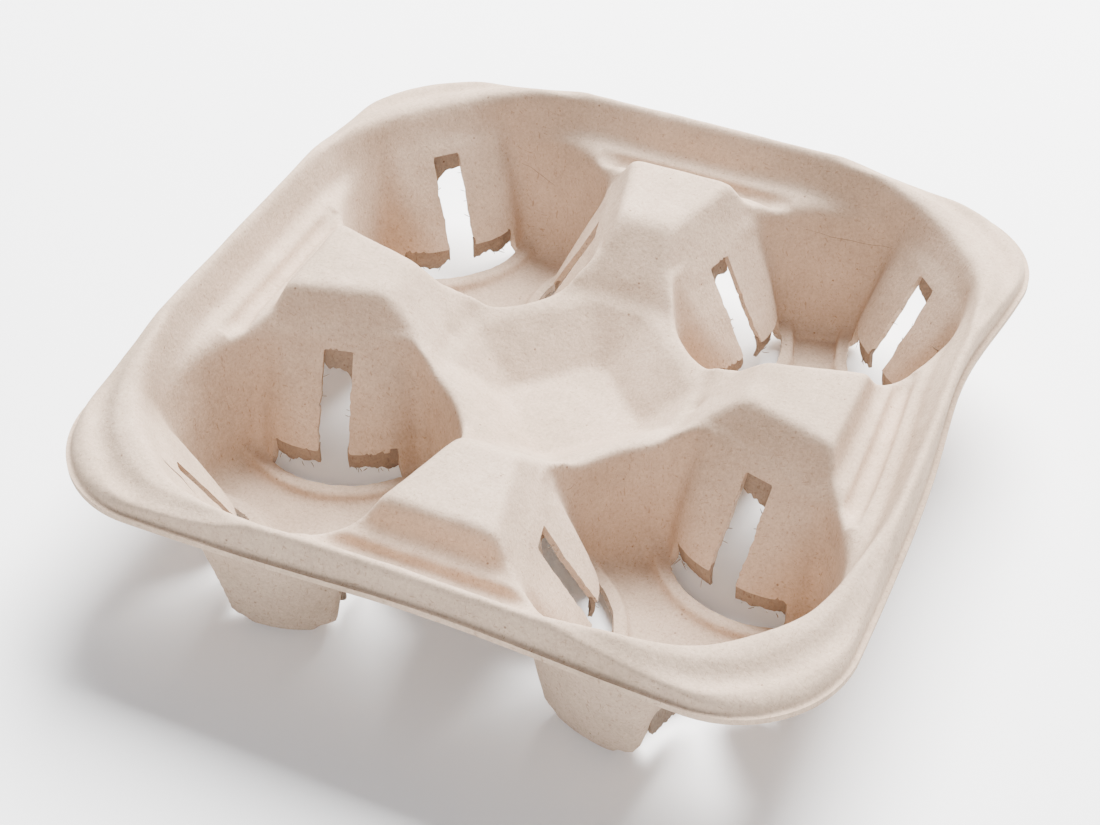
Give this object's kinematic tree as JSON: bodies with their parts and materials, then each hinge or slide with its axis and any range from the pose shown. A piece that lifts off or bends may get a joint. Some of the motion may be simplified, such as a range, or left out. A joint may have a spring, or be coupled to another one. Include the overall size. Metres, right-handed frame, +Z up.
{
  "type": "cup carrier tray",
  "caption": "Square moulded-pulp cup carrier with deep round wells, slotted bulges that grip the cups, posts between the wells and a turned-down rim.",
  "frame": {"origin": "centre of the tray, on the surface that its feet stand on", "axes": "+Z up, +X and +Y along the tray's two equal sides"},
  "size_m": [0.217, 0.217, 0.0575],
  "materials": {
    "moulded_pulp": "matt, fibrous, unbleached moulded pulp"
  },
  "bodies": {
    "root": {"carrier_tray": "moulded_pulp"}
  },
  "joints": []
}
